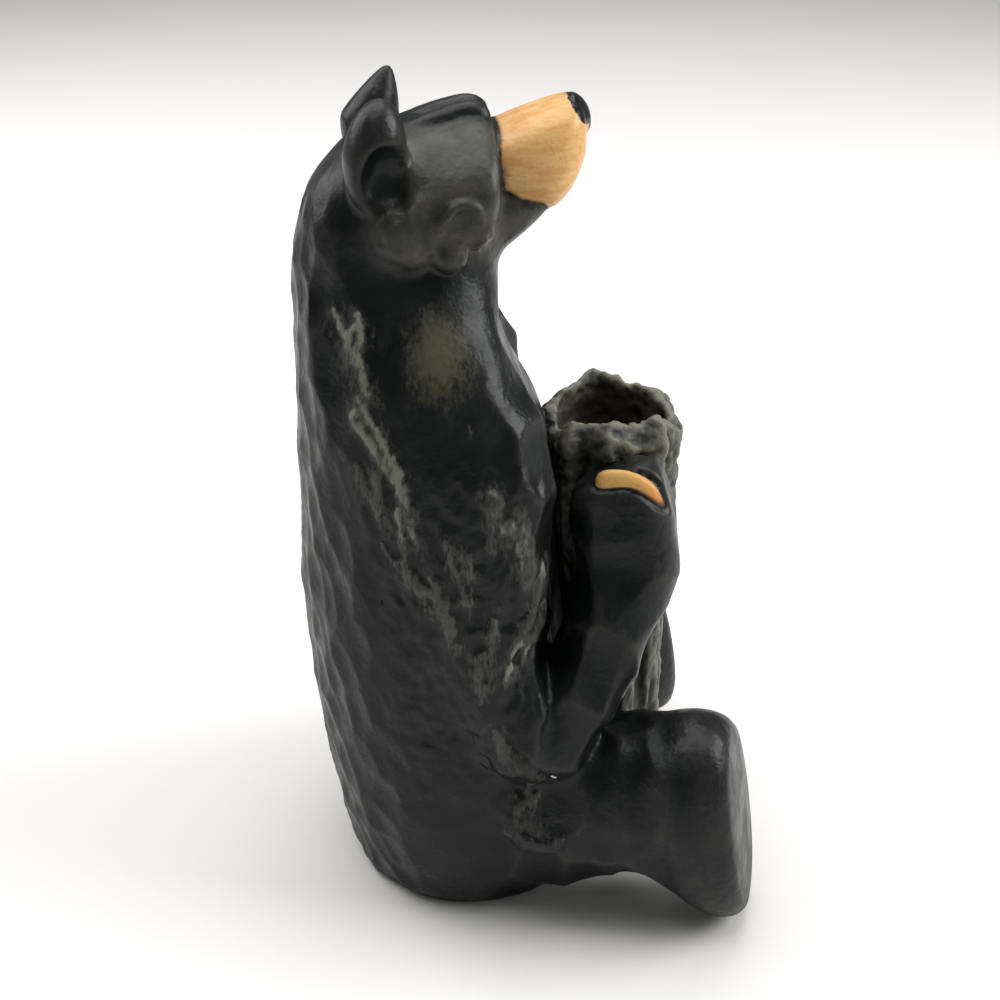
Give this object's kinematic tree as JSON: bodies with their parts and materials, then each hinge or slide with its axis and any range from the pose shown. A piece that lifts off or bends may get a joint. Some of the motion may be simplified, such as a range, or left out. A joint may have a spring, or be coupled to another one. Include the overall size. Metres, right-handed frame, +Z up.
{
  "type": "bear figurine candle holder",
  "caption": "Sitting black bear cast in one piece with the hollow upright log that it hugs, whose open top holds a candle.",
  "frame": {"origin": "on the flat underside of the bear's rump, midway between its flanks, at floor level", "axes": "+Z up, the bear looks towards -Y, its left side is +X"},
  "size_m": [0.122, 0.1111, 0.2003],
  "materials": {
    "painted_resin": "satin black paint worn to grey brown on the raised fur, tan muzzle and claws, grey brown bark"
  },
  "bodies": {
    "root": {"bear_with_log": "painted_resin"}
  },
  "joints": []
}
